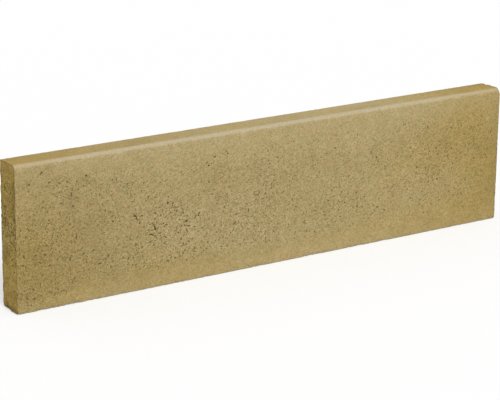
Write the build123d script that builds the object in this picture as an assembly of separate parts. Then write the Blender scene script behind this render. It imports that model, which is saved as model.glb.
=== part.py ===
from build123d import *
import os

# Concrete lawn edging: one straight kerb, pressed in one piece.
# X runs along the kerb, Y across its thickness and Z up.
# The origin is in the middle of the underside, and the bevelled face looks towards -Y.
# All sizes are in millimetres.

# Overall size
length = 1000.0
height = 250.0
thickness = 50.0

# Bevel along the front edge of the head
bevel_run = 5.5             # across the top, back from the front face
bevel_drop = 5.0            # down the front face
bevel_top_radius = 4.0      # soft break where the flat top turns into the bevel
bevel_foot_radius = 1.5     # crisper break where the bevel meets the front face

# Small rounded arrises that the mould leaves
back_arris_radius = 1.5     # along the back of the head
bed_arris_radius = 2.0      # along both edges of the underside
end_arris_radius = 1.0      # round both end faces


def section_outline():
    """The closed outline of the section, seen along the kerb, with an arc at every corner."""
    front = -thickness / 2
    back = thickness / 2
    rounded_corners = [
        ((front, 0), bed_arris_radius),
        ((front, height - bevel_drop), bevel_foot_radius),
        ((front + bevel_run, height), bevel_top_radius),
        ((back, height), back_arris_radius),
        ((back, 0), bed_arris_radius),
    ]
    points = [point for point, radius in rounded_corners]
    radii = [radius for point, radius in rounded_corners]
    return FilletPolyline(*points, radius=radii, close=True)


def straight_kerb():
    """The section carried along the whole length, half of it to each side of the origin."""
    section = Plane.YZ * make_face(section_outline())
    return extrude(section, amount=length / 2, both=True)


def edging_kerb():
    """The finished kerb, with the arris round each end face rounded off."""
    kerb = straight_kerb()
    end_faces = kerb.faces().filter_by(Axis.X)
    return fillet(end_faces.edges(), radius=end_arris_radius)


os.makedirs("parts", exist_ok=True)
export_step(edging_kerb(), "parts/edging_kerb.step")
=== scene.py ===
import itertools
import math

import bpy
import numpy as np
from mathutils import Matrix, Vector


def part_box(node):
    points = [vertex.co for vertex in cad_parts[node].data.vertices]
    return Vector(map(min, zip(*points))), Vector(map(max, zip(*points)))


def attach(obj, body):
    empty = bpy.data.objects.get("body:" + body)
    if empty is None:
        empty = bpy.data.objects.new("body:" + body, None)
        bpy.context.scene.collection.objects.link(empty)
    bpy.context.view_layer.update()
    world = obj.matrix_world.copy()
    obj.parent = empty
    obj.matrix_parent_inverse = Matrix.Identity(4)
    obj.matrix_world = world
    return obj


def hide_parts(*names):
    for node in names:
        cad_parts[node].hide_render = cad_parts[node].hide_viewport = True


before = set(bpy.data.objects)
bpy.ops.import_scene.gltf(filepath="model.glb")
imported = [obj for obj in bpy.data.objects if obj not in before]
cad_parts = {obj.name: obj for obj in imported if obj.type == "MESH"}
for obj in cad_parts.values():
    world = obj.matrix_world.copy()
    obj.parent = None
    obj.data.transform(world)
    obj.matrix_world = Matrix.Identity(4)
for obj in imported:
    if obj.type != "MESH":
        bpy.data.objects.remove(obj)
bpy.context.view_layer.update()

# Concrete lawn edging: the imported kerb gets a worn, pitted surface and a sandy concrete finish.
# X runs along the kerb, Y across it with the bevelled face towards -Y, and Z up. All in metres.

kerbLow, kerbHigh = (np.array(corner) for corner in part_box("edging_kerb"))
kerbLength, kerbThickness, kerbHeight = kerbHigh - kerbLow
print("frame loaded, kerb", kerbLength, kerbThickness, kerbHeight)


# Small helpers

def smoothStep(low, high, value):
    # zero below low, one above high, and a smooth cubic between
    part = np.clip((value - low) / (high - low), 0, 1)
    return part * part * (3 - 2 * part)


def rising(value, low, high, amount=1):
    # zero below low and the whole amount above high
    return amount * smoothStep(low, high, value)


def falling(value, low, high, amount=1):
    # the whole amount below low and zero above high
    return amount * (1 - smoothStep(low, high, value))


def softSum(along, height, places):
    # sum of amount * exp(-squared distance in half widths and half heights)
    total = np.zeros(along.shape)
    for place, level, halfWidth, halfHeight, amount in places:
        squared = ((along - place) / halfWidth) ** 2 + ((height - level) / halfHeight) ** 2
        total += amount * np.exp(-squared)
    return total


def latticeNoise(points, cell, seed):
    # random values on a cubic lattice that goes past the kerb by a margin on every side, blended
    # smoothly between the eight corners round each point
    margin = 1
    place = (points - kerbLow) / cell + margin
    base = np.floor(place).astype(int)
    part = place - base
    part = part * part * (3 - 2 * part)
    size = np.ceil((kerbHigh - kerbLow) / cell).astype(int) + 2 * margin + 2
    values = np.random.default_rng(seed).uniform(-1, 1, size)
    total = np.zeros(points.shape[:-1])
    for corner in itertools.product((0, 1), repeat=3):
        weight = np.prod(np.where(corner, part, 1 - part), axis=-1)
        total += weight * values[tuple(np.moveaxis(base + corner, -1, 0))]
    return total


def layeredNoise(points, layers, start=0):
    # start plus the sum of amount * noise; each layer is a cell, an amount and a seed
    return sum((amount * latticeNoise(points, cell, seed) for cell, amount, seed in layers), start)


# The kerb. Places along it are measured from its middle and heights from its bed. A layer of noise is a
# cell, an amount and a seed. All the wear goes inward, so the size stays.

kerb = {
    "seed": 4,  # of the pores' draws

    "section": {
        "bevelRun": 0.0055,  # bevel, across the top
        "bevelDrop": 0.005,  # bevel, down the front
        "bevelTopRadius": 0.004,
        "bevelFootRadius": 0.0015,
        "backArris": 0.0015,
        "bedArris": 0.002,
        "endArris": 0.001,
    },

    "mesh": {
        "gridStep": 0.00125,  # spacing of the points before thinning
        "arcPoints": 24,      # points on each arc of the first outline
        "arcDensity": 2.5,    # how much closer the points stand on the arcs
        "endArcSteps": 4,
        "middleHeight": 0.8,  # height of an end face's middle line, as a share
        "triangles": 190000,  # left after thinning
    },

    # how squarely a point faces each way, where that face's look starts and is full
    "facing": {
        "front": (0.3, 0.8),
        "sides": (0.3, 0.8),
        "ends": (0.5, 0.95),
        "bed": (0.5, 0.95),
        "top": (0.5, 0.9),
    },

    # where the bevel's smoothness starts and is full, upward from its foot and outward from its head
    "bevelFade": {"foot": (-0.001, 0.0015), "head": (-0.0015, 0.001)},

    # unevenness, with depths as the amounts
    "skin": {
        "swell": [(0.16, 0.00016, 4), (0.05, 0.00008, 5)],         # slow, on every face
        "grain": [(0.0042, 0.00013, 14), (0.0026, 0.0001, 15)],    # on the front, the back and the top
        "endGrain": [(0.009, 0.0004, 24), (0.0045, 0.00045, 25)],  # the ends are rougher
        "bedGrain": [(0.008, 0.0004, 34), (0.004, 0.0004, 35)],
        "bevelKeeps": 0.35,  # share of the grain that the bevel keeps
    },

    "arrisWear": {
        # depth, reach, cell of the wear and share of the length that is worn
        "arrises": {
            "front bed": (0.0015, 0.004, 0.0045, 0.45),
            "back bed": (0.0012, 0.0035, 0.005, 0.5),
            "back top": (0.0005, 0.002, 0.006, 0.35),
            "bevel foot": (0.0004, 0.0022, 0.007, 0.45),
            "left bed": (0.0024, 0.006, 0.006, 0.9),
            "right bed": (0.001, 0.003, 0.006, 0.6),
            "left front": (0.0007, 0.0025, 0.006, 0.5),
            "left back": (0.0009, 0.003, 0.006, 0.5),
            "right front": (0.0005, 0.002, 0.006, 0.4),
            "right back": (0.0009, 0.003, 0.006, 0.5),
            "left top": (0.0007, 0.0025, 0.006, 0.5),
            "right top": (0.0012, 0.004, 0.008, 0.7),
        },
        "layers": [(1, 0.6, 44), (3, 0.4, 64)],  # cells as multiples of the arris's own, and first seeds
        "bite": (0.35, 1),                       # noise where a bite starts and is full, less the worn share
        "longBeds": ("front bed", "back bed"),
        "longBedsKeep": ((-0.5, 0.15, 0.35, 0.5), (1.0, 1.0, 0.4, 0.4)),  # share of the wear, along them
        "chipped": (0.0002, 0.0014),  # depths where the worn colour starts and is full
    },

    "cornerWear": {
        # corner as -1 or 1 along X, Y and Z, then depth and reach
        "corners": [
            ((1, -1, 1), 0.0035, 0.011),
            ((1, 1, 1), 0.0012, 0.005),
            ((-1, -1, 1), 0.0012, 0.005),
            ((-1, -1, -1), 0.002, 0.007),
            ((-1, 1, -1), 0.003, 0.009),
            ((1, -1, -1), 0.0006, 0.003),
            ((1, 1, -1), 0.0022, 0.007),
        ],
        "ragged": [(0.003, 0.25, 84)],
    },

    # openness: 0 where the skin is closed and 1 where it is full of pores
    "open": {
        "front": 0.15,                     # least on the front
        "frontFoot": (0.035, 0.05, 0.06),  # more at its foot: heights where that fades, and amount
        "band": 0.325,                     # what the open band of the front adds
        "bandFoot": (0.022, 0.05),         # heights where the band starts and is full
        "bandHead": (0.195, 0.232, 0.7),   # heights where it fades, and the share that it loses
        "bandLeft": (-0.47, -0.36, 0.03),  # lower at the left: places along where that fades, and drop
        "bandRight": (-0.1, 0.4, 0.05),    # less open to the right: places where that starts and is full
        "bed": 0.5,
        "ends": 0.72,
        "rest": 0.1,  # the top and the arrises
        "bevelLoses": 0.85,
        "clumps": [(0.06, 0.12, 98), (0.022, 0.14, 99)],
        # what the band has more: place along, height, half width, half height and amount
        "places": [
            (-0.23, 0.1, 0.09, 0.05, 0.03), (-0.42, 0.09, 0.11, 0.09, 0.13),
            (-0.13, 0.1, 0.12, 0.06, 0.06), (0.3, 0.11, 0.13, 0.07, 0.08),
            (-0.38, 0.205, 0.06, 0.02, 0.1), (0.42, 0.15, 0.06, 0.05, 0.06),
            (0.02, 0.09, 0.2, 0.04, 0.08),
        ],
    },

    # how rough and mottled the ends are: heights, and shares there
    "endRough": (
        (0.0, 0.035, 0.055, 0.075, 0.095, 0.115, 0.135, 0.155, 0.175, 0.2, 0.215, 0.235, 0.25),
        (0.6, 0.95, 0.8, 0.85, 1.05, 1.05, 1.32, 1.12, 1.0, 1.0, 0.95, 0.5, 0.35),
    ),

    # open pores; sizes are radii
    "pores": {
        "counts": {"front": 1500, "back": 1500, "left": 80, "right": 80, "top": 90, "bed": 220},
        "tries": 6,            # places drawn for each pore asked for
        "sureAt": 0.6,         # openness where every place drawn becomes a pore
        "clumps": (0.02, 97),  # cell and seed of the noise that bunches them
        "smallest": 0.0006,
        "largest": 0.0017,
        "mostlySmall": 3,       # power that makes the large ones rare
        "dark": (0.1, 0.5, 2),  # painted shade in the opening: least, range, and power that makes the dark ones rare
        "longest": 2.4,         # length as a share of the width
        "ragged": [(0.0016, 0.45, 96)],
        "rim": 1.25,           # how far the painted shade of the opening goes past the bowl
        "groupWidth": 0.4,     # the groups below: width as a share of their length,
        "groupSmallest": 0.3,  # smallest size as a share of the way to the largest,
        "groupPalest": 0.45,   # and least share of the group's darkness
        # larger pores on the front: place along, height, spread along the slope, slope in degrees, how many
        # and how dark their painted shade is
        "groups": [
            (-0.374, 0.203, 0.012, 10, 7, 0.9), (-0.455, 0.229, 0.007, 50, 5, 0.8),
            (-0.474, 0.212, 0.008, 60, 7, 0.7), (-0.42, 0.195, 0.012, 55, 8, 0.5),
            (-0.308, 0.14, 0.007, 45, 5, 1.0), (-0.276, 0.126, 0.006, -45, 7, 1.0),
            (-0.236, 0.108, 0.01, 40, 18, 0.85), (-0.252, 0.097, 0.004, 0, 5, 0.5),
            (-0.21, 0.137, 0.007, -50, 8, 0.9), (-0.188, 0.123, 0.008, 30, 8, 0.7),
            (-0.181, 0.103, 0.008, -50, 9, 1.0), (-0.155, 0.112, 0.005, 0, 5, 0.8),
            (-0.25, 0.08, 0.018, 30, 7, 0.5), (-0.178, 0.062, 0.007, -40, 6, 1.0),
            (-0.215, 0.046, 0.008, 20, 4, 0.9), (-0.443, 0.111, 0.016, 50, 8, 0.7),
            (-0.307, 0.066, 0.016, 20, 8, 0.8), (-0.384, 0.079, 0.016, 15, 7, 0.6),
            (-0.43, 0.15, 0.012, 40, 7, 0.6), (-0.128, 0.204, 0.009, 50, 5, 1.0),
            (-0.103, 0.214, 0.005, 10, 3, 1.0), (-0.12, 0.075, 0.024, 10, 10, 0.5),
            (0.18, 0.07, 0.03, 10, 8, 0.4), (0.28, 0.211, 0.003, 0, 2, 0.7),
            (0.28, 0.105, 0.02, -30, 9, 0.8), (0.328, 0.145, 0.006, 0, 2, 1.0),
            (0.35, 0.094, 0.012, 30, 5, 0.8), (0.229, 0.058, 0.008, 10, 4, 0.8),
            (0.329, 0.08, 0.01, 60, 4, 0.9), (0.02, 0.15, 0.03, 0, 6, 0.4),
        ],
    },

    # tone: 0 is plain buff, higher is paler and lower is darker
    "tone": {
        "front": -0.05,
        "underBevel": (0.205, 0.244, 0.7),  # pale band: heights where it starts and is full, and amount
        "underBevelLoses": 0.5,             # share that it loses at both ends of the kerb
        "aboveBed": (0.02, 0.045, 0.1),     # pale band: heights where it fades, and amount
        "aboveBedLoses": 0.4,
        "farOut": (0.3, 0.5),  # distances from the middle where both losses start and are full
        "slow": [(0.14, 0.4, 201), (0.06, 0.3, 202)],
        "slowLoses": 0.7,               # share of it that the front loses
        "streaks": 0.12,                # drawn out up the face: amount,
        "streakNoise": (0.011, 203),    # cell and seed,
        "streakStretch": (1, 1, 0.12),  # scale of the points before the noise,
        "streakHeights": (0.1, 0.22),  # and heights where they start and are full
        "clouds": 0.25,                 # on the foot of the front: amount,
        "cloudNoise": (0.014, 207),     # cell and seed,
        "cloudHeights": (0.03, 0.05),   # and heights where they fade
        "ends": 1.2,                    # the ends without their mottle
        "endFoot": (0.05, 0.13, 0.4),   # heights where this extra fades, and amount
        # cell, seed, noise where it starts and is full, and how much it darkens
        "mottle": [(0.009, 204, -0.1, 0.9, 1.6), (0.0042, 205, 0.0, 0.8, 1.8)],
        # front: place along, height, half width, half height and amount
        "places": [
            (-0.47, 0.07, 0.12, 0.08, -0.7), (-0.36, 0.12, 0.16, 0.09, -0.25),
            (0.0, 0.075, 0.26, 0.07, 0.1), (0.48, 0.11, 0.06, 0.09, -0.55),
            (0.505, 0.12, 0.025, 0.1, -0.55), (0.37, 0.155, 0.08, 0.05, -0.25),
            (0.25, 0.11, 0.16, 0.08, 0.33), (0.1, 0.203, 0.33, 0.018, 0.25),
            (-0.08, 0.06, 0.12, 0.035, 0.25), (-0.28, 0.032, 0.16, 0.012, -0.3),
            (-0.02, 0.012, 0.26, 0.009, 0.3), (-0.15, 0.21, 0.3, 0.03, 0.3),
            (0.12, 0.165, 0.08, 0.03, 0.12), (-0.21, 0.1, 0.07, 0.04, 0.4),
            (0.07, 0.046, 0.24, 0.003, 0.25), (-0.44, 0.22, 0.07, 0.025, -0.35),
            (0.19, 0.215, 0.1, 0.03, 0.35),
        ],
        # left end: the same, with the place across from the middle; the narrow dark streaks by the front
        # arris in the upper part are a painted shadow of that arris, and the dark patch along the foot is
        # painted shade under the worn bed arris
        "leftPlaces": [
            (-0.0205, 0.195, 0.0025, 0.05, -1.7), (0.014, 0.173, 0.008, 0.005, -1.9),
            (0.01, 0.151, 0.01, 0.006, -1.0), (-0.018, 0.159, 0.005, 0.007, -1.0),
            (0.009, 0.127, 0.009, 0.004, -1.8), (0.0, 0.098, 0.007, 0.005, -1.6),
            (0.02, 0.088, 0.007, 0.01, -1.3), (-0.013, 0.134, 0.008, 0.002, -2.0),
            (0.005, 0.003, 0.022, 0.007, -2.6), (-0.019, 0.06, 0.003, 0.004, -1.2),
            (0.018, 0.205, 0.006, 0.004, -0.8), (-0.002, 0.19, 0.01, 0.003, -1.0),
            (-0.014, 0.085, 0.01, 0.06, 0.7), (-0.018, 0.215, 0.008, 0.03, -0.5),
        ],
        # left end: heights, and what is added there; the low value at the bed is part of the painted shade
        # at the foot
        "upLeft": (
            (0.0, 0.03, 0.045, 0.07, 0.095, 0.115, 0.135, 0.155, 0.175, 0.205, 0.222, 0.25),
            (-1.0, -0.3, -0.15, 0.1, -0.25, 0.8, 1.3, 0.7, -0.25, -0.1, -0.1, -0.4),
        ),
        # top: places along it, and what is added there
        "alongTop": ((-0.5, -0.25, 0.0, 0.2, 0.34, 0.5), (-0.75, -0.4, 0.1, 0.25, -0.1, -1.0)),
    },

    # how much more yellow than plain buff
    "ochre": {
        "slow": [(0.09, 0.08, 206)],
        "ends": 1.12,
        "endsPerTone": 0.14,  # less where the ends are pale
        "places": [
            (0.47, 0.11, 0.11, 0.11, 0.52), (0.33, 0.15, 0.08, 0.05, 0.22),
            (0.26, 0.11, 0.12, 0.07, 0.12), (-0.5, 0.09, 0.12, 0.1, 0.38),
            (0.33, 0.04, 0.2, 0.022, 0.22), (-0.3, 0.035, 0.2, 0.025, 0.12),
            (0.1, 0.015, 0.45, 0.018, 0.2), (0.42, 0.2, 0.08, 0.04, 0.2),
        ],
        "alongTop": ((-0.5, -0.25, 0.0, 0.25, 0.5), (0.7, 0.25, 0.0, 0.05, 0.8)),
    },
}


# The kerb's surface

def bevelEdges():
    # height of the bevel's foot, and place of its head across
    return kerbHigh[2] - kerb["section"]["bevelDrop"], kerbLow[1] + kerb["section"]["bevelRun"]


def sectionOutline():
    # closed outline in Y and Z, from the middle of the bed round by the front, the bevel, the top and the
    # back; an arc touches the runs at each corner: centre = corner - run in * radius * tangent of half the
    # turn - outward normal * radius, and point = centre + radius * spoke
    mesh = kerb["mesh"]
    foot, head = bevelEdges()
    front, back = kerbLow[1], kerbHigh[1]
    bed, top = kerbLow[2], kerbHigh[2]
    start = np.array([(front + back) / 2, bed])
    corners = np.array([
        [front, bed],
        [front, foot],
        [head, top],
        [back, top],
        [back, bed],
    ])
    arcs = ("bedArris", "bevelFootRadius", "bevelTopRadius", "backArris", "bedArris")
    points, normals, closeness = [start[None]], [np.array([[0, -1]])], [np.ones(1)]
    stops = np.vstack([start, corners, start])
    for before, corner, after, arc in zip(stops, corners, stops[2:], arcs):
        radius = kerb["section"][arc]
        runIn = (corner - before) / np.linalg.norm(corner - before)
        runOut = (after - corner) / np.linalg.norm(after - corner)
        outward = np.array([-runIn[1], runIn[0]])
        turn = math.acos(np.clip(runIn @ runOut, -1, 1))
        angle = np.linspace(0, turn, mesh["arcPoints"])[:, None]
        spoke = outward * np.cos(angle) + runIn * np.sin(angle)
        centre = corner - runIn * radius * math.tan(turn / 2) - outward * radius
        points.append(centre + spoke * radius)
        normals.append(spoke)
        closeness.append(np.append(np.ones(1), np.full(mesh["arcPoints"] - 1, mesh["arcDensity"])))
    points = np.vstack(points + [start[None]])
    normals = np.vstack(normals + [normals[0]])
    closeness = np.concatenate(closeness + [np.ones(1)])
    run = np.linalg.norm(np.diff(points, axis=0), axis=1) * closeness[1:]
    run = np.concatenate([[0], np.cumsum(run)])
    count = 2 * round(run[-1] / mesh["gridStep"] / 2)
    steps = np.linspace(0, run[-1], count, endpoint=False)
    outline = np.stack([np.interp(steps, run, points[:, axis]) for axis in (0, 1)], axis=1)
    facing = np.stack([np.interp(steps, run, normals[:, axis]) for axis in (0, 1)], axis=1)
    return outline, facing / np.linalg.norm(facing, axis=1, keepdims=True)


def pathColumns():
    # the path starts in the middle of the left end face, goes out to its rim, along the kerb and in again;
    # each column has its X, how far it is set in by the end's arris, how far it is drawn to the end's middle
    # line (1 is on it), and the angle that it faces: 0 is along X and a quarter turn is out of the sides;
    # on the arris X = end + arris * (1 - sin angle) and inset = arris * (1 - cos of the rest of the turn)
    arris, step = kerb["section"]["endArris"], kerb["mesh"]["gridStep"]
    half = kerbLength / 2
    quarter = math.pi / 2
    capSteps = round((kerbThickness / 2 - arris) / step)
    drawn = np.linspace(1, 0, capSteps + 1)
    angle = np.linspace(0, quarter, kerb["mesh"]["endArcSteps"] + 1)[1:-1]
    sideCount = round((kerbLength - 2 * arris) / step) + 1
    along = np.linspace(-half + arris, half - arris, sideCount)
    none = np.zeros(capSteps + 1)
    x = np.concatenate([none - half, -half + arris * (1 - np.sin(angle)), along,
                        half - arris * (1 - np.sin(angle[::-1])), none + half])
    inset = np.concatenate([none + arris, arris * (1 - np.cos(quarter - angle)), np.zeros(sideCount),
                            arris * (1 - np.cos(quarter - angle[::-1])), none + arris])
    toMiddle = np.concatenate([drawn, np.zeros(len(angle) * 2 + sideCount), drawn[::-1]])
    faces = np.concatenate([none, angle, np.full(sideCount, quarter), angle[::-1], none])
    return x, inset, toMiddle, faces


def kerbGrid():
    # point = (x, section - section normal * inset, drawn towards the middle line);
    # normal = (cos of the path's angle, section normal * sin of it)
    outline, facing = sectionOutline()
    x, inset, toMiddle, angle = pathColumns()
    count = len(outline)
    middleZ = (kerbLow[2] + kerbHigh[2]) / 2
    index = np.minimum(np.arange(count), count - np.arange(count))  # the same on the front and the back
    middleHalf = kerbHeight / 2 * kerb["mesh"]["middleHeight"]
    middle = np.stack([np.zeros(count), middleZ - middleHalf + 2 * middleHalf * index / (count / 2)], axis=1)
    ring = outline - facing * inset[:, None, None]
    ring = ring + (middle - ring) * toMiddle[:, None, None]
    points = np.concatenate([np.broadcast_to(x[:, None, None], ring.shape[:2] + (1,)), ring], axis=2)
    outX = np.cos(angle) * np.sign(x)
    outSide = np.sin(angle)
    normals = np.concatenate([np.broadcast_to(outX[:, None, None], ring.shape[:2] + (1,)),
                              facing * outSide[:, None, None]], axis=2)
    return points, normals


def gridFaces(columns, rows):
    # quads between neighbouring columns, the rows closing on themselves; in the first and last column
    # the front and back halves share their points, which closes the end faces
    number = np.arange(columns * rows).reshape(columns, rows)
    mirrored = np.minimum(np.arange(rows), rows - np.arange(rows))
    number[0] = number[0][mirrored]
    number[-1] = number[-1][mirrored]
    nextRow = np.roll(number, -1, axis=1)
    quads = np.stack([number[:-1], number[1:], nextRow[1:], nextRow[:-1]], axis=-1).reshape(-1, 4)
    used, quads = np.unique(quads, return_inverse=True)
    return used, quads.reshape(-1, 4)


def faceShares(normals):
    # how far each point belongs to each face: a smooth step of how squarely it faces that way
    x, y, z = np.moveaxis(normals, -1, 0)
    squarely = {"front": -y, "sides": np.abs(y), "ends": np.abs(x), "bed": -z, "top": z}
    return {name: smoothStep(*kerb["facing"][name], value) for name, value in squarely.items()}


def bevelShare(points):
    # one on the bevel, falling to zero a millimetre or two outside it
    foot, head = bevelEdges()
    below, above = kerb["bevelFade"]["foot"]
    rise = smoothStep(foot + below, foot + above, points[..., 2])
    return rise * smoothStep(*kerb["bevelFade"]["head"], head - points[..., 1])


# Wear

def skinDepth(points, normals):
    # sum of share * depth * (half + half the noise): slow swells all over, and sandy grain, rougher on
    # the ends and the bed and smoother on the bevel
    skin, shares = kerb["skin"], faceShares(normals)
    ends, bed = shares["ends"], shares["bed"]
    plain = (1 - ends) * (1 - bed) * (1 - (1 - skin["bevelKeeps"]) * bevelShare(points))
    depth = np.zeros(points.shape[:-1])
    for share, name in ((1, "swell"), (plain, "grain"), (ends, "endGrain"), (bed, "bedGrain")):
        for cell, amount, seed in skin[name]:
            depth += share * amount * (0.5 + 0.5 * latticeNoise(points, cell, seed))
    return depth


def edgeLines():
    # both ends of each arris, by name
    x = {"left": kerbLow[0], "right": kerbHigh[0]}
    y = {"front": kerbLow[1], "back": kerbHigh[1]}
    z = {"bed": kerbLow[2], "top": kerbHigh[2]}
    lines = {}
    for sideName, sideY in y.items():
        for levelName, levelZ in z.items():
            lines[f"{sideName} {levelName}"] = ((x["left"], sideY, levelZ), (x["right"], sideY, levelZ))
        for endName, endX in x.items():
            lines[f"{endName} {sideName}"] = ((endX, sideY, z["bed"]), (endX, sideY, z["top"]))
    for endName, endX in x.items():
        for levelName, levelZ in z.items():
            lines[f"{endName} {levelName}"] = ((endX, y["front"], levelZ), (endX, y["back"], levelZ))
    foot = bevelEdges()[0]
    lines["bevel foot"] = ((x["left"], y["front"], foot), (x["right"], y["front"], foot))
    return lines


def distanceToLine(points, line):
    # distance from each point to the nearest point of the straight run between the two ends
    start, end = (np.array(place, float) for place in line)
    run = end - start
    part = np.clip((points - start) @ run / (run @ run), 0, 1)
    return np.linalg.norm(points - start - part[..., None] * run, axis=-1)


def arrisDepth(points):
    # deepest of depth * smooth step of the noise * (1 - (distance / reach) squared), over all arrises
    wear, lines = kerb["arrisWear"], edgeLines()
    biteFrom, biteFull = wear["bite"]
    depth = np.zeros(points.shape[:-1])
    for number, (name, (amount, reach, cell, share)) in enumerate(wear["arrises"].items()):
        away = distanceToLine(points, lines[name])
        near = away < reach
        layers = [(cell * times, weight, seed + number) for times, weight, seed in wear["layers"]]
        bite = smoothStep(biteFrom - share, biteFull - share, layeredNoise(points[near], layers))
        if name in wear["longBeds"]:
            bite *= np.interp(points[near][:, 0], *wear["longBedsKeep"])
        depth[near] = np.maximum(depth[near], amount * bite * (1 - (away[near] / reach) ** 2))
    return depth


def cornerDepth(points):
    # deepest of depth * (1 + noise) * (1 - distance / reach), over all knocked corners
    depth = np.zeros(points.shape[:-1])
    middle, half = (kerbLow + kerbHigh) / 2, (kerbHigh - kerbLow) / 2
    for corner, amount, reach in kerb["cornerWear"]["corners"]:
        away = np.linalg.norm(points - middle - half * np.array(corner), axis=-1)
        near = away < reach
        rough = layeredNoise(points[near], kerb["cornerWear"]["ragged"], 1)
        depth[near] = np.maximum(depth[near], amount * rough * (1 - away[near] / reach))
    return depth


def openness(points, normals):
    # clumps * the bevel's loss * the face's own: least + foot + band on the front, a profile up the ends,
    # and even elsewhere
    look, shares = kerb["open"], faceShares(normals)
    sides, ends, bed = shares["sides"], shares["ends"], shares["bed"]
    along, height = points[..., 0], points[..., 2]
    raised = height + falling(along, *look["bandLeft"])
    band = rising(raised, *look["bandFoot"]) * (1 - rising(height, *look["bandHead"]))
    inBand = look["band"] - rising(along, *look["bandRight"]) + softSum(along, height, look["places"])
    front = look["front"] + falling(height, *look["frontFoot"]) + band * inBand
    rough = look["ends"] * np.interp(height, *kerb["endRough"])
    rest = look["rest"] * (1 - sides) * (1 - ends) * (1 - bed)
    clump = layeredNoise(points, look["clumps"], 1)
    smooth = 1 - look["bevelLoses"] * bevelShare(points)
    return clump * smooth * (sides * front + rough * ends + look["bed"] * bed + rest)


def scatterPores(rng):
    # centre, direction, radius, stretch and painted shade of every pore: a face keeps the places drawn below
    # its openness * (half + half the noise), and each group is a slanted normal scatter
    look = kerb["pores"]
    faces = {
        "front": (1, kerbLow[1]), "back": (1, kerbHigh[1]), "left": (0, kerbLow[0]),
        "right": (0, kerbHigh[0]), "top": (2, kerbHigh[2]), "bed": (2, kerbLow[2]),
    }
    middle = (kerbLow + kerbHigh) / 2
    centres, directions = [], []
    for name, (axis, level) in faces.items():
        count = look["counts"][name]
        drawn = rng.uniform(kerbLow, kerbHigh, (count * look["tries"], 3))
        drawn[:, axis] = level
        facing = np.zeros(drawn.shape)
        facing[:, axis] = np.sign(level - middle[axis])
        chance = openness(drawn, facing) * (0.5 + 0.5 * latticeNoise(drawn, *look["clumps"]))
        centres.append(drawn[rng.uniform(0, look["sureAt"], len(drawn)) < chance][:count])
        heading = rng.normal(0, 1, (len(centres[-1]), 3))
        heading[:, axis] = 0
        directions.append(heading)
    scattered = sum(len(group) for group in centres)
    least, span, power = look["dark"]
    shadeStrength = [least + span * rng.uniform(0, 1, scattered) ** power]
    for along, height, spread, slope, count, dark in look["groups"]:
        angle = math.radians(slope)
        major, minor = rng.normal(0, spread, count), rng.normal(0, spread * look["groupWidth"], count)
        centres.append(np.stack([along + major * math.cos(angle) - minor * math.sin(angle),
                                 np.full(count, kerbLow[1]),
                                 height + major * math.sin(angle) + minor * math.cos(angle)], axis=1))
        none = np.zeros(count)
        directions.append(np.stack([rng.normal(0, 1, count), none, rng.normal(0, 1, count)], axis=1))
        shadeStrength.append(dark * rng.uniform(look["groupPalest"], 1, count))
    centres, directions, shadeStrength = np.vstack(centres), np.vstack(directions), np.concatenate(shadeStrength)
    directions /= np.linalg.norm(directions, axis=1, keepdims=True)
    smallest, largest, total = look["smallest"], look["largest"], len(centres)
    radii = smallest + (largest - smallest) * rng.uniform(0, 1, total) ** look["mostlySmall"]
    grouped = rng.uniform(look["groupSmallest"], 1, total - scattered)
    radii[scattered:] = smallest + (largest - smallest) * grouped
    stretch = rng.uniform(1, look["longest"], total)
    return centres, directions, radii, stretch, shadeStrength


def poreDepth(points, rng):
    # each pore is a ragged bowl, as deep as its radius: 1 - squared distance in its own stretched measure *
    # (1 + noise); the painted shade of its opening is a wider and even one
    look = kerb["pores"]
    depth = np.zeros(points.shape[:-1])
    openingShade = np.zeros(points.shape[:-1])
    columnX = points[:, 0, 0]
    rough = layeredNoise(points, look["ragged"], 1)
    for centre, direction, radius, stretch, dark in zip(*scatterPores(rng)):
        reach = radius * stretch * look["rim"]
        first, last = np.searchsorted(columnX, (centre[0] - reach, centre[0] + reach))
        near = slice(first, last + 1)
        offset = points[near] - centre
        squared = (offset ** 2).sum(axis=-1) - (1 - stretch ** -2) * (offset @ direction) ** 2
        bowl = np.clip(1 - squared / radius ** 2 * rough[near], 0, 1)
        np.maximum(depth[near], bowl * radius, out=depth[near])
        wide = np.clip(1 - squared / (radius * look["rim"]) ** 2, 0, 1)
        np.maximum(openingShade[near], wide * dark, out=openingShade[near])
    return depth, openingShade


# Tone and yellow of the concrete, as values on the mesh

def surfaceTone(points, normals):
    # front: its level, soft patches, pale bands under the bevel and above the bed, streaks and clouds; ends:
    # a pale level less the mottle, and on the left one its patches and a profile up it as well, among them a
    # painted shadow of the front arris and painted shade at the worn foot; top: a profile along it; and a
    # slow wander all over, weaker on the front
    look, shares = kerb["tone"], faceShares(normals)
    along, across, height = np.moveaxis(points, -1, 0)
    farOut = smoothStep(*look["farOut"], np.abs(along))
    front = softSum(along, height, look["places"])
    front += rising(height, *look["underBevel"]) * (1 - look["underBevelLoses"] * farOut)
    front += falling(height, *look["aboveBed"]) * (1 - look["aboveBedLoses"] * farOut) + look["front"]
    streaks = latticeNoise(points * look["streakStretch"], *look["streakNoise"])
    streaks = streaks * rising(height, *look["streakHeights"])
    clouds = latticeNoise(points, *look["cloudNoise"]) * falling(height, *look["cloudHeights"])
    front = front + look["streaks"] * streaks + look["clouds"] * clouds
    mottle = sum(amount * smoothStep(low, high, latticeNoise(points, cell, seed))
                 for cell, seed, low, high, amount in look["mottle"])
    ends = look["ends"] + falling(height, *look["endFoot"]) - mottle * np.interp(height, *kerb["endRough"])
    left = softSum(across, height, look["leftPlaces"]) + np.interp(height, *look["upLeft"])
    top = np.interp(along, *look["alongTop"]) * shares["top"]
    slow = (1 - look["slowLoses"] * shares["front"]) * layeredNoise(points, look["slow"])
    tone = shares["front"] * front + slow + shares["ends"] * ends + top
    return tone + shares["ends"] * (along < 0) * left


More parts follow.
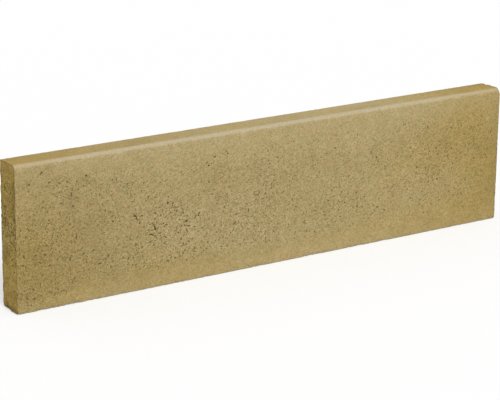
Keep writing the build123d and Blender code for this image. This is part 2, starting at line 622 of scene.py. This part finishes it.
def surfaceOchre(points, normals, tone):
    # front: soft patches; ends: a level less a share of their tone, so that the dark places are the most
    # yellow; top: a profile along it; and a slow wander all over
    look, shares = kerb["ochre"], faceShares(normals)
    along, height = points[..., 0], points[..., 2]
    front = shares["front"] * softSum(along, height, look["places"])
    ends = (look["ends"] - look["endsPerTone"] * tone) * shares["ends"]
    top = np.interp(along, *look["alongTop"]) * shares["top"]
    return front + ends + top + layeredNoise(points, look["slow"])


def buildKerb():
    # point = point of the plain surface - normal * (skin + the deeper of knock and pore)
    points, normals = kerbGrid()
    print("kerb grid", points.shape)
    knocks = np.maximum(arrisDepth(points), cornerDepth(points))
    pores, openingShade = poreDepth(points, np.random.default_rng(kerb["seed"]))
    depth = skinDepth(points, normals) + np.maximum(knocks, pores)
    print("kerb worn, deepest", depth.max())
    tone = surfaceTone(points, normals)
    attributes = {
        # the pore attribute is the painted shade of the pore openings
        "pore": openingShade,
        "chipped": smoothStep(*kerb["arrisWear"]["chipped"], knocks),
        "open": openness(points, normals),
        "tone": tone,
        "ochre": surfaceOchre(points, normals, tone),
    }
    moved = points - normals * depth[..., None]
    used, quads = gridFaces(*points.shape[:2])
    mesh = bpy.data.meshes.new("kerb_stone")
    mesh.from_pydata(moved.reshape(-1, 3)[used], [], quads)
    for name, values in attributes.items():
        layer = mesh.attributes.new(name, "FLOAT", "POINT")
        layer.data.foreach_set("value", values.reshape(-1)[used].astype(np.float32))
    piece = bpy.data.objects.new("kerb_stone", mesh)
    bpy.context.scene.collection.objects.link(piece)
    print("kerb mesh", len(mesh.vertices), "points")
    return piece


def thinMesh(piece, triangles):
    # the plain stretches get larger triangles, and the pores and arrises keep theirs
    thin = piece.modifiers.new("thin", "DECIMATE")
    thin.ratio = triangles / (2 * len(piece.data.polygons))  # a quad counts as two triangles
    thin.use_collapse_triangulate = True
    evaluated = piece.evaluated_get(bpy.context.evaluated_depsgraph_get())
    thinned = bpy.data.meshes.new_from_object(evaluated)
    piece.modifiers.clear()
    piece.data = thinned
    thinned.name = "kerb_stone"
    thinned.shade_smooth()
    print("kerb thinned to", len(thinned.polygons), "triangles")


kerbStone = buildKerb()
thinMesh(kerbStone, kerb["mesh"]["triangles"])
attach(kerbStone, "root")
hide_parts("edging_kerb")


# Shader helpers

def feed(tree, socket, value):
    # links a socket, or sets a plain value
    if isinstance(value, bpy.types.NodeSocket):
        tree.links.new(value, socket)
    else:
        socket.default_value = value


def addNode(tree, kind, inputs=(), **settings):
    node = tree.nodes.new(kind)
    for name, value in settings.items():
        setattr(node, name, value)
    for name, value in dict(inputs).items():
        feed(tree, node.inputs[name], value)
    return node


def maths(tree, operation, *values, clamp=False):
    node = addNode(tree, "ShaderNodeMath", enumerate(values), operation=operation, use_clamp=clamp)
    return node.outputs[0]


def rescale(tree, value, fromLow, fromHigh, toLow=0.0, toHigh=1.0, soft=False):
    node = addNode(tree, "ShaderNodeMapRange", {
        "Value": value, "From Min": fromLow, "From Max": fromHigh, "To Min": toLow, "To Max": toHigh,
    }, interpolation_type="SMOOTHSTEP" if soft else "LINEAR", clamp=True)
    return node.outputs[0]


def mixColours(tree, share, first, second, blend="MIX"):
    node = addNode(tree, "ShaderNodeMix", data_type="RGBA", blend_type=blend)
    for index, value in ((0, share), (6, first), (7, second)):  # the colour sockets are 6 and 7
        feed(tree, node.inputs[index], value)
    return node.outputs[2]


def timesColour(tree, first, second):
    return mixColours(tree, 1.0, first, second, blend="MULTIPLY")


def newGroup(name, inputs, outputs):
    # a node group with float inputs at their first values, vector inputs for None, and the named outputs
    group = bpy.data.node_groups.new(name, "ShaderNodeTree")
    for label, value in inputs.items():
        kind = "NodeSocketVector" if value is None else "NodeSocketFloat"
        socket = group.interface.new_socket(label, in_out="INPUT", socket_type=kind)
        if value is not None:
            socket.default_value = value
    for label in outputs:
        group.interface.new_socket(label, in_out="OUTPUT", socket_type="NodeSocketFloat")
    return group, group.nodes.new("NodeGroupInput").outputs, group.nodes.new("NodeGroupOutput").inputs


def useGroup(tree, group, inputs):
    node = addNode(tree, "ShaderNodeGroup", node_tree=group)
    for name, value in inputs.items():
        feed(tree, node.inputs[name], value)
    return node.outputs


# Effects

def sandGrainGroup():
    # sand grains: a random shade for each grain, and their rounded tops as a height
    group, given, out = newGroup("sandGrain", {"Vector": None, "Grain Size": 0.002}, ("Shade", "Height"))
    scale = maths(group, "DIVIDE", 1.0, given["Grain Size"])
    cells = addNode(group, "ShaderNodeTexVoronoi", {"Vector": given["Vector"], "Scale": scale})
    channels = addNode(group, "ShaderNodeSeparateColor", {"Color": cells.outputs["Color"]})
    feed(group, out["Shade"], channels.outputs[0])
    feed(group, out["Height"], maths(group, "SUBTRACT", 1.0, cells.outputs["Distance"], clamp=True))
    return group


def pitGroup():
    # small irregular pits: mask = (lowest + Share * span - noise) / Blur, so a Share of 0 opens almost none
    # of the surface, 1 opens half of it and 2 opens it all
    lowest, span = 0.22, 0.28
    group, given, out = newGroup("pits", {
        "Vector": None, "Pit Size": 0.003, "Share": 0.3, "Blur": 0.08}, ("Mask",))
    scale = maths(group, "DIVIDE", 1.0, given["Pit Size"])
    noise = addNode(group, "ShaderNodeTexNoise", {
        "Vector": given["Vector"], "Scale": scale, "Detail": 2.0, "Roughness": 0.55, "Distortion": 0.5})
    edge = maths(group, "MULTIPLY_ADD", given["Share"], span, lowest)
    below = maths(group, "SUBTRACT", edge, noise.outputs[0])
    feed(group, out["Mask"], maths(group, "DIVIDE", below, given["Blur"], clamp=True))
    return group


def blotchGroup():
    # soft blotches with ragged edges: the middle part of a coarse noise, spread over 0 to 1
    dark, pale = 0.3, 0.7
    group, given, out = newGroup("blotches", {"Vector": None, "Patch Size": 0.03, "Detail": 4.0}, ("Mask",))
    scale = maths(group, "DIVIDE", 1.0, given["Patch Size"])
    noise = addNode(group, "ShaderNodeTexNoise", {
        "Vector": given["Vector"], "Scale": scale, "Detail": given["Detail"], "Roughness": 0.6})
    feed(group, out["Mask"], rescale(group, noise.outputs[0], dark, pale))
    return group


sandGrain, pits, blotches = sandGrainGroup(), pitGroup(), blotchGroup()
print("shader groups ready")


# The concrete

concreteLook = {
    "toneColours": [  # tone from -3 to 2, and the colour there
        (-3.0, (0.12, 0.095, 0.04)),
        (-1.5, (0.3, 0.228, 0.09)),
        (0.0, (0.408, 0.316, 0.142)),
        (1.0, (0.465, 0.37, 0.182)),
        (2.0, (0.52, 0.43, 0.24)),
    ],
    "ochreTint": (1.02, 0.88, 0.42, 1),

    # blotches
    "wideBlotches": {"Patch Size": 0.035, "Detail": 5.0},
    "smallBlotches": {"Patch Size": 0.009, "Detail": 3.0},
    "cloudBlotches": {"Patch Size": 0.022, "Detail": 2.0},
    "wideTone": 0.6,  # how much they change the tone
    "smallTone": 0.5,
    "pinkTint": (1.035, 0.99, 0.985, 1),
    "greenTint": (0.975, 1.01, 0.965, 1),
    "tintFrom": (0.2, 0.8),  # where the blotches are all greenish and all pinkish

    # grains
    "grainSize": 0.002,
    "fineGrainSize": 0.0009,
    "grainShare": 0.6,  # in the speckle
    "fineGrainShare": 0.4,
    "grainContrast": 0.68,
    "contrastByOpen": (0.5, 1.45),            # times that, on closed skin and on the most open
    "darkGrainTint": (1.005, 0.97, 0.8, 1),  # dark grains are warmer, pale ones greyer
    "paleGrainTint": (0.995, 1.035, 1.22, 1),

    # pits and pores, with painted shade inside them; a share by openness or pore is a factor and what is
    # added
    "finePits": {"Pit Size": 0.0024, "Blur": 0.1},
    "finePitsByOpen": (0.5, 0.42),
    "finePitsShade": 0.42,
    "deepPits": {"Pit Size": 0.004, "Blur": 0.045},
    "deepPitsShade": 0.9,
    "pitShadeColour": (0.122, 0.089, 0.026, 1),
    "yellowPitShadeColour": (0.126, 0.084, 0.01, 1),  # painted shade of the pits where the concrete is most ochre
    "holes": {"Pit Size": 0.0034, "Blur": 0.07},
    "holesByPore": (2.8, -0.2),
    "holesShade": 0.95,
    "poreShadeColour": (0.056, 0.04, 0.009, 1),
    "wornColour": (0.44, 0.345, 0.165, 1),
    "wornShare": 0.3,

    # the bevel: paler and greyer, partly a smoother skin and partly a painted highlight
    "bevelSkinAndHighlightColour": (0.434, 0.362, 0.222, 1),
    "bevelByPlace": (0.28, 0.5, 0.95, 0.58),  # distances from the middle, and the shares of its colour there; its painted highlight fades towards the ends
    "bevelGreyAndHighlightTint": (0.985, 1.01, 1.33, 1),     # greyer than the rest, partly a painted highlight, down to this far below the bevel's foot
    "greyBelow": 0.0014,
    "bevelWaver": 0.0009,           # of both its edges
    "bevelFoot": (0.0003, 0.0016),  # above the foot, where its look starts and is full
    "bevelHead": (0.006, -0.002),   # inward from the head, the same
    "bevelGrainLoses": 0.5,         # share of the grain's contrast
    "bevelPits": 0.15,              # share of the pits that it keeps
    "bevelRelief": 0.4,

    "roughness": 0.9,
    "bevelRoughness": -0.25,
    "grainRoughness": 0.06,

    # relief under the size of the mesh
    "grainHeight": 0.55,
    "fineGrainHeight": 0.3,
    "finePitsHeight": -0.7,
    "deepPitsHeight": -1.6,
    "holesHeight": -1.6,
    "reliefHeight": 0.0005,
    "reliefStrength": 0.8,
}


def bevelMask(tree, look, place, waver, lowered=0.0):
    # the bevel as a band in Y and Z, with slightly wavering edges and its lower edge moved down
    rise = maths(tree, "ADD", place["Z"], waver)
    inward = maths(tree, "SUBTRACT", place["Y"], waver)
    foot, head = bevelEdges()
    low = rescale(tree, rise, *(float(foot + above - lowered) for above in look["bevelFoot"]), soft=True)
    high = rescale(tree, inward, *(float(head + past) for past in look["bevelHead"]), soft=True)
    return maths(tree, "MULTIPLY", low, high)


def toneRamp(tree, tone, stops):
    # the colour at a tone, straight between the stops
    lowest, highest = stops[0][0], stops[-1][0]
    ramp = addNode(tree, "ShaderNodeValToRGB", {"Fac": rescale(tree, tone, lowest, highest)})
    for number, (level, colour) in enumerate(stops):
        spot = (level - lowest) / (highest - lowest)
        element = ramp.color_ramp.elements[number] if number < 2 else ramp.color_ramp.elements.new(spot)
        element.position = spot
        element.color = (*colour, 1)
    return ramp.outputs[0]


def concreteMaterial(look):
    material = bpy.data.materials.new("pressedConcrete")
    material.use_nodes = True
    tree = material.node_tree
    shader = tree.nodes["Principled BSDF"]
    place = addNode(tree, "ShaderNodeTexCoord").outputs["Object"]
    axes = addNode(tree, "ShaderNodeSeparateXYZ", {"Vector": place}).outputs
    read = {name: addNode(tree, "ShaderNodeAttribute", attribute_name=name).outputs["Fac"]
            for name in ("tone", "ochre", "open", "pore", "chipped")}

    grain = useGroup(tree, sandGrain, {"Vector": place, "Grain Size": look["grainSize"]})
    fine = useGroup(tree, sandGrain, {"Vector": place, "Grain Size": look["fineGrainSize"]})
    fineShare = maths(tree, "MULTIPLY_ADD", read["open"], *look["finePitsByOpen"])
    holeShare = maths(tree, "MULTIPLY_ADD", read["pore"], *look["holesByPore"])
    deepPits = useGroup(tree, pits, {"Vector": place, "Share": read["open"], **look["deepPits"]})["Mask"]
    finePits = useGroup(tree, pits, {"Vector": place, "Share": fineShare, **look["finePits"]})["Mask"]
    holes = useGroup(tree, pits, {"Vector": place, "Share": holeShare, **look["holes"]})["Mask"]
    wide, small, cloud = (useGroup(tree, blotches, {"Vector": place, **look[name]})["Mask"]
                          for name in ("wideBlotches", "smallBlotches", "cloudBlotches"))
    waver = maths(tree, "MULTIPLY_ADD", small, look["bevelWaver"], -0.5 * look["bevelWaver"])
    bevel = bevelMask(tree, look, axes, waver)

    # tone of the cement: the mesh's broad patches, then blotches
    wander = maths(tree, "MULTIPLY_ADD", wide, look["wideTone"], -0.5 * look["wideTone"])
    wander = maths(tree, "MULTIPLY_ADD", small, look["smallTone"],
                   maths(tree, "SUBTRACT", wander, 0.5 * look["smallTone"]))
    colour = toneRamp(tree, maths(tree, "ADD", read["tone"], wander), look["toneColours"])

    # its hue: more yellow where the mesh says, pinkish to greenish in blotches, and paler and greyer on the
    # bevel, partly a smoother skin and partly a painted highlight
    yellow = maths(tree, "ADD", read["ochre"], 0.0, clamp=True)
    colour = mixColours(tree, yellow, colour, timesColour(tree, colour, look["ochreTint"]))
    pitShadeColour = mixColours(tree, yellow, look["pitShadeColour"], look["yellowPitShadeColour"])
    cast = maths(tree, "MULTIPLY_ADD", small, 0.5, maths(tree, "MULTIPLY", cloud, 0.5))
    cast = rescale(tree, cast, *look["tintFrom"])
    colour = timesColour(tree, colour, mixColours(tree, cast, look["greenTint"], look["pinkTint"]))
    # the greyer tint and the paler colour on the bevel are partly a smoother skin and partly a painted
    # highlight
    greyer = bevelMask(tree, look, axes, waver, look["greyBelow"])
    colour = mixColours(tree, greyer, colour, timesColour(tree, colour, look["bevelGreyAndHighlightTint"]))
    pale = rescale(tree, maths(tree, "ABSOLUTE", axes["X"]), *look["bevelByPlace"])
    colour = mixColours(tree, maths(tree, "MULTIPLY", bevel, pale), colour, look["bevelSkinAndHighlightColour"])

    # grains lighten and darken it
    speckle = maths(tree, "ADD", maths(tree, "MULTIPLY", grain["Shade"], look["grainShare"]),
                    maths(tree, "MULTIPLY", fine["Shade"], look["fineGrainShare"]))
    closed, opened = (times * look["grainContrast"] for times in look["contrastByOpen"])
    contrast = maths(tree, "MULTIPLY", maths(tree, "MULTIPLY_ADD", bevel, -look["bevelGrainLoses"], 1.0),
                     rescale(tree, read["open"], 0.0, 1.0, closed, opened))
    shade = maths(tree, "MULTIPLY_ADD", maths(tree, "SUBTRACT", speckle, 0.5), contrast, 1.0)
    colour = timesColour(tree, colour, shade)
    grainTint = mixColours(tree, speckle, look["darkGrainTint"], look["paleGrainTint"])
    colour = timesColour(tree, colour, grainTint)

    # painted shade in the pits, the worn places, and painted shade in the pores
    skin = rescale(tree, bevel, 0.0, 1.0, 1.0, look["bevelPits"])
    for mask, dark in ((finePits, look["finePitsShade"]), (deepPits, look["deepPitsShade"])):
        share = maths(tree, "MULTIPLY", mask, maths(tree, "MULTIPLY", skin, dark))
        colour = mixColours(tree, share, colour, pitShadeColour)
    worn = maths(tree, "MULTIPLY", read["chipped"], look["wornShare"])
    colour = mixColours(tree, worn, colour, look["wornColour"])
    colour = mixColours(tree, maths(tree, "MULTIPLY", holes, look["holesShade"]), colour, look["poreShadeColour"])
    feed(tree, shader.inputs["Base Color"], colour)

    rough = maths(tree, "MULTIPLY_ADD", bevel, look["bevelRoughness"], look["roughness"])
    rough = maths(tree, "MULTIPLY_ADD", grain["Shade"], look["grainRoughness"], rough)
    feed(tree, shader.inputs["Roughness"], rough)

    height = maths(tree, "ADD", maths(tree, "MULTIPLY", grain["Height"], look["grainHeight"]),
                   maths(tree, "MULTIPLY", fine["Height"], look["fineGrainHeight"]))
    for mask, rise in ((finePits, "finePitsHeight"), (deepPits, "deepPitsHeight"), (holes, "holesHeight")):
        height = maths(tree, "MULTIPLY_ADD", mask, look[rise], height)
    height = maths(tree, "MULTIPLY", height, rescale(tree, bevel, 0.0, 1.0, 1.0, look["bevelRelief"]))
    bump = addNode(tree, "ShaderNodeBump", {
        "Height": height, "Distance": look["reliefHeight"], "Strength": look["reliefStrength"]})
    feed(tree, shader.inputs["Normal"], bump.outputs[0])
    return material


kerbStone.data.materials.clear()
kerbStone.data.materials.append(concreteMaterial(concreteLook))
print("concrete finished")


# Floor, light and camera

stageLook = {
    "floorSize": 60.0,
    "floorSeen": (0.5, 0.503, 0.512, 1),  # as the camera sees it, with the glow added
    "floorGlow": 0.49,                     # even white that only the camera sees, so the shadow stays pale
    "floorBounce": (0.5, 0.5, 0.5, 1),  # as it lights the kerb
    "skyLight": 0.5,                       # as it lights the kerb; the camera sees 1
    "keyFrom": (-0.12, -0.665, 0.735),     # where the light comes from
    "keyStrength": 0.7,
    "keySpread": 30.0,  # degrees, for soft shadows
    "keyColour": (1.0, 0.985, 0.955),
}


def seenRays(tree):
    # camera, glossy and transmission rays
    path = addNode(tree, "ShaderNodeLightPath").outputs
    seen = maths(tree, "MAXIMUM", path["Is Camera Ray"], path["Is Glossy Ray"])
    return maths(tree, "MAXIMUM", seen, path["Is Transmission Ray"])


def buildFloor(look):
    half = look["floorSize"] / 2
    corners = [(-half, -half, 0), (half, -half, 0), (half, half, 0), (-half, half, 0)]
    mesh = bpy.data.meshes.new("studio_floor")
    mesh.from_pydata(corners, [], [(0, 1, 2, 3)])
    floor = bpy.data.objects.new("studio_floor", mesh)
    bpy.context.scene.collection.objects.link(floor)
    material = bpy.data.materials.new("paleFloor")
    material.use_nodes = True
    tree = material.node_tree
    shader = tree.nodes["Principled BSDF"]
    floorColour = mixColours(tree, seenRays(tree), look["floorBounce"], look["floorSeen"])
    feed(tree, shader.inputs["Base Color"], floorColour)
    shader.inputs["Emission Color"].default_value = (1, 1, 1, 1)
    glow = maths(tree, "MULTIPLY", seenRays(tree), look["floorGlow"])
    feed(tree, shader.inputs["Emission Strength"], glow)
    shader.inputs["Roughness"].default_value = 1.0
    shader.inputs["Specular IOR Level"].default_value = 0.0
    mesh.materials.append(material)


def buildLight(look):
    world = bpy.data.worlds.new("studio")
    bpy.context.scene.world = world
    world.use_nodes = True
    tree = world.node_tree
    background = tree.nodes["Background"]
    background.inputs["Color"].default_value = (1, 1, 1, 1)
    strength = rescale(tree, seenRays(tree), 0.0, 1.0, look["skyLight"], 1.0)
    feed(tree, background.inputs["Strength"], strength)
    lamp = bpy.data.lights.new("keyLight", "SUN")
    lamp.energy = look["keyStrength"] * math.pi  # 1 shows a facing colour as written
    lamp.angle = math.radians(look["keySpread"])
    lamp.color = look["keyColour"]
    key = bpy.data.objects.new("keyLight", lamp)
    bpy.context.scene.collection.objects.link(key)
    key.matrix_world = Vector(look["keyFrom"]).to_track_quat("Z", "Y").to_matrix().to_4x4()


cameraPlace = {
    "position": (-1.9306, -2.8116, 1.1353),
    "yaw": -33.996,
    "pitch": -16.757,
    "roll": -0.621,
    "focalPixels": 2053.7,  # for a picture as wide as this
    "frameWidth": 500,
    "sensor": 36.0,
    "clip": (0.1, 200),
}


def buildCamera(place):
    camera = bpy.data.cameras.new("camera")
    camera.sensor_width = place["sensor"]
    camera.lens = place["focalPixels"] / place["frameWidth"] * place["sensor"]
    camera.clip_start, camera.clip_end = place["clip"]
    body = bpy.data.objects.new("camera", camera)
    bpy.context.scene.collection.objects.link(body)
    turn = Matrix.Rotation(math.radians(place["yaw"]), 4, "Z")
    tilt = Matrix.Rotation(math.radians(place["pitch"] + 90), 4, "X")  # unturned, a camera looks down
    roll = Matrix.Rotation(-math.radians(place["roll"]), 4, "Z")
    body.matrix_world = Matrix.Translation(place["position"]) @ turn @ tilt @ roll
    bpy.context.scene.camera = body


bpy.context.scene.view_settings.view_transform = "Standard"
buildFloor(stageLook)
buildLight(stageLook)
buildCamera(cameraPlace)
print("stage ready")
